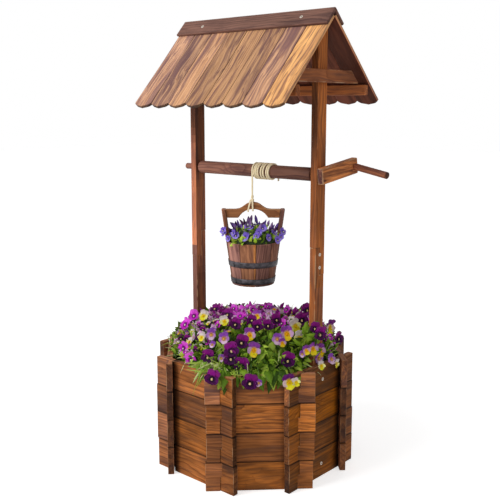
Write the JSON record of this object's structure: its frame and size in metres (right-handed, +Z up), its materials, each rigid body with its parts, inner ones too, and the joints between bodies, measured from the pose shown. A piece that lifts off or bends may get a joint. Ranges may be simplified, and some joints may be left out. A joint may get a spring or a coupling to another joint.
{
  "type": "wishing well planter",
  "caption": "Octagonal log-cabin planter shaped as a wishing well, with a board roof on two posts and a crank windlass that lifts a planted stave bucket on a rope.",
  "frame": {"origin": "centre of the floor panel's underside, on the ground at the middle of the octagon", "axes": "+Z up the posts to the ridge; +X along the ridge and the roller towards the crank; -Y towards the front slope of the roof"},
  "size_m": [0.5858, 0.5129, 1.1498],
  "materials": {
    "wall_boards": "matte",
    "post_wood": "matte",
    "roof_boards": "matte",
    "roof_frame": "matte",
    "ridge_caps": "matte",
    "floor_wood": "matte",
    "soil": "matte",
    "pansies": "matte",
    "roller_wood": "matte",
    "crank_wood": "matte",
    "rope": "matte",
    "bucket_wood": "matte",
    "hoop_iron": "matte",
    "violets": "matte"
  },
  "bodies": {
    "well": {"wall_1_board_1": "wall_boards", "wall_1_board_2": "wall_boards", "wall_1_board_3": "wall_boards", "wall_1_board_4": "wall_boards", "wall_2_board_1": "wall_boards", "wall_2_board_2": "wall_boards", "wall_2_board_3": "wall_boards", "wall_2_board_4": "wall_boards", "wall_3_board_1": "wall_boards", "wall_3_board_2": "wall_boards", "wall_3_board_3": "wall_boards", "wall_3_board_4": "wall_boards", "wall_4_board_1": "wall_boards", "wall_4_board_2": "wall_boards", "wall_4_board_3": "wall_boards", "wall_4_board_4": "wall_boards", "wall_5_board_1": "wall_boards", "wall_5_board_2": "wall_boards", "wall_5_board_3": "wall_boards", "wall_5_board_4": "wall_boards", "wall_6_board_1": "wall_boards", "wall_6_board_2": "wall_boards", "wall_6_board_3": "wall_boards", "wall_6_board_4": "wall_boards", "wall_7_board_1": "wall_boards", "wall_7_board_2": "wall_boards", "wall_7_board_3": "wall_boards", "wall_7_board_4": "wall_boards", "wall_8_board_1": "wall_boards", "wall_8_board_2": "wall_boards", "wall_8_board_3": "wall_boards", "wall_8_board_4": "wall_boards", "lower_post_left": "post_wood", "upper_post_left": "post_wood", "lower_post_right": "post_wood", "upper_post_right": "post_wood", "roof_slope_front": "roof_boards", "roof_slope_back": "roof_boards", "roof_batten_front": "roof_frame", "roof_batten_back": "roof_frame", "roof_tie_left": "roof_frame", "roof_tie_right": "roof_frame", "ridge_cap_front": "ridge_caps", "ridge_cap_back": "ridge_caps", "floor_panel": "floor_wood", "planter_soil": "soil", "planter_pansies": "pansies"},
    "windlass": {"windlass_roller": "roller_wood", "crank_arm": "crank_wood", "crank_grip": "crank_wood", "rope_winding": "rope"},
    "bucket_line": {"rope_drop": "rope"},
    "knot": {"rope_knot": "rope"},
    "bucket": {"rope_hitch": "rope", "bucket_staves": "bucket_wood", "bucket_bottom": "bucket_wood", "bucket_handle": "bucket_wood", "bucket_hoop_upper": "hoop_iron", "bucket_hoop_lower": "hoop_iron", "bucket_flowers": "violets"}
  },
  "joints": [
    {"name": "windlass_spin", "type": "hinge", "parent": "well", "child": "windlass", "pos_m": [0, 0, 0.765], "axis": [1, 0, 0], "range_deg": [-85, 165]},
    {"name": "bucket_lift", "type": "slide", "parent": "well", "child": "bucket_line", "axis": [0, 0, 1], "range_m": [-0.0554, 0.0286], "deforming": ["rope_drop"]},
    {"name": "bucket_twist", "type": "hinge", "parent": "bucket_line", "child": "knot", "pos_m": [0.0104, -0.0192, 0.7], "axis": [0, 0, 1], "continuous": true},
    {"name": "bucket_swing", "type": "hinge", "parent": "knot", "child": "bucket", "pos_m": [0.0104, -0.0192, 0.6948], "axis": [0.7485, 0.6631, 0], "range_deg": [-15, 15]}
  ],
  "couplings": [
    {"joint": "bucket_lift", "follows": "windlass_spin", "m_per_rad": -0.0192}
  ]
}
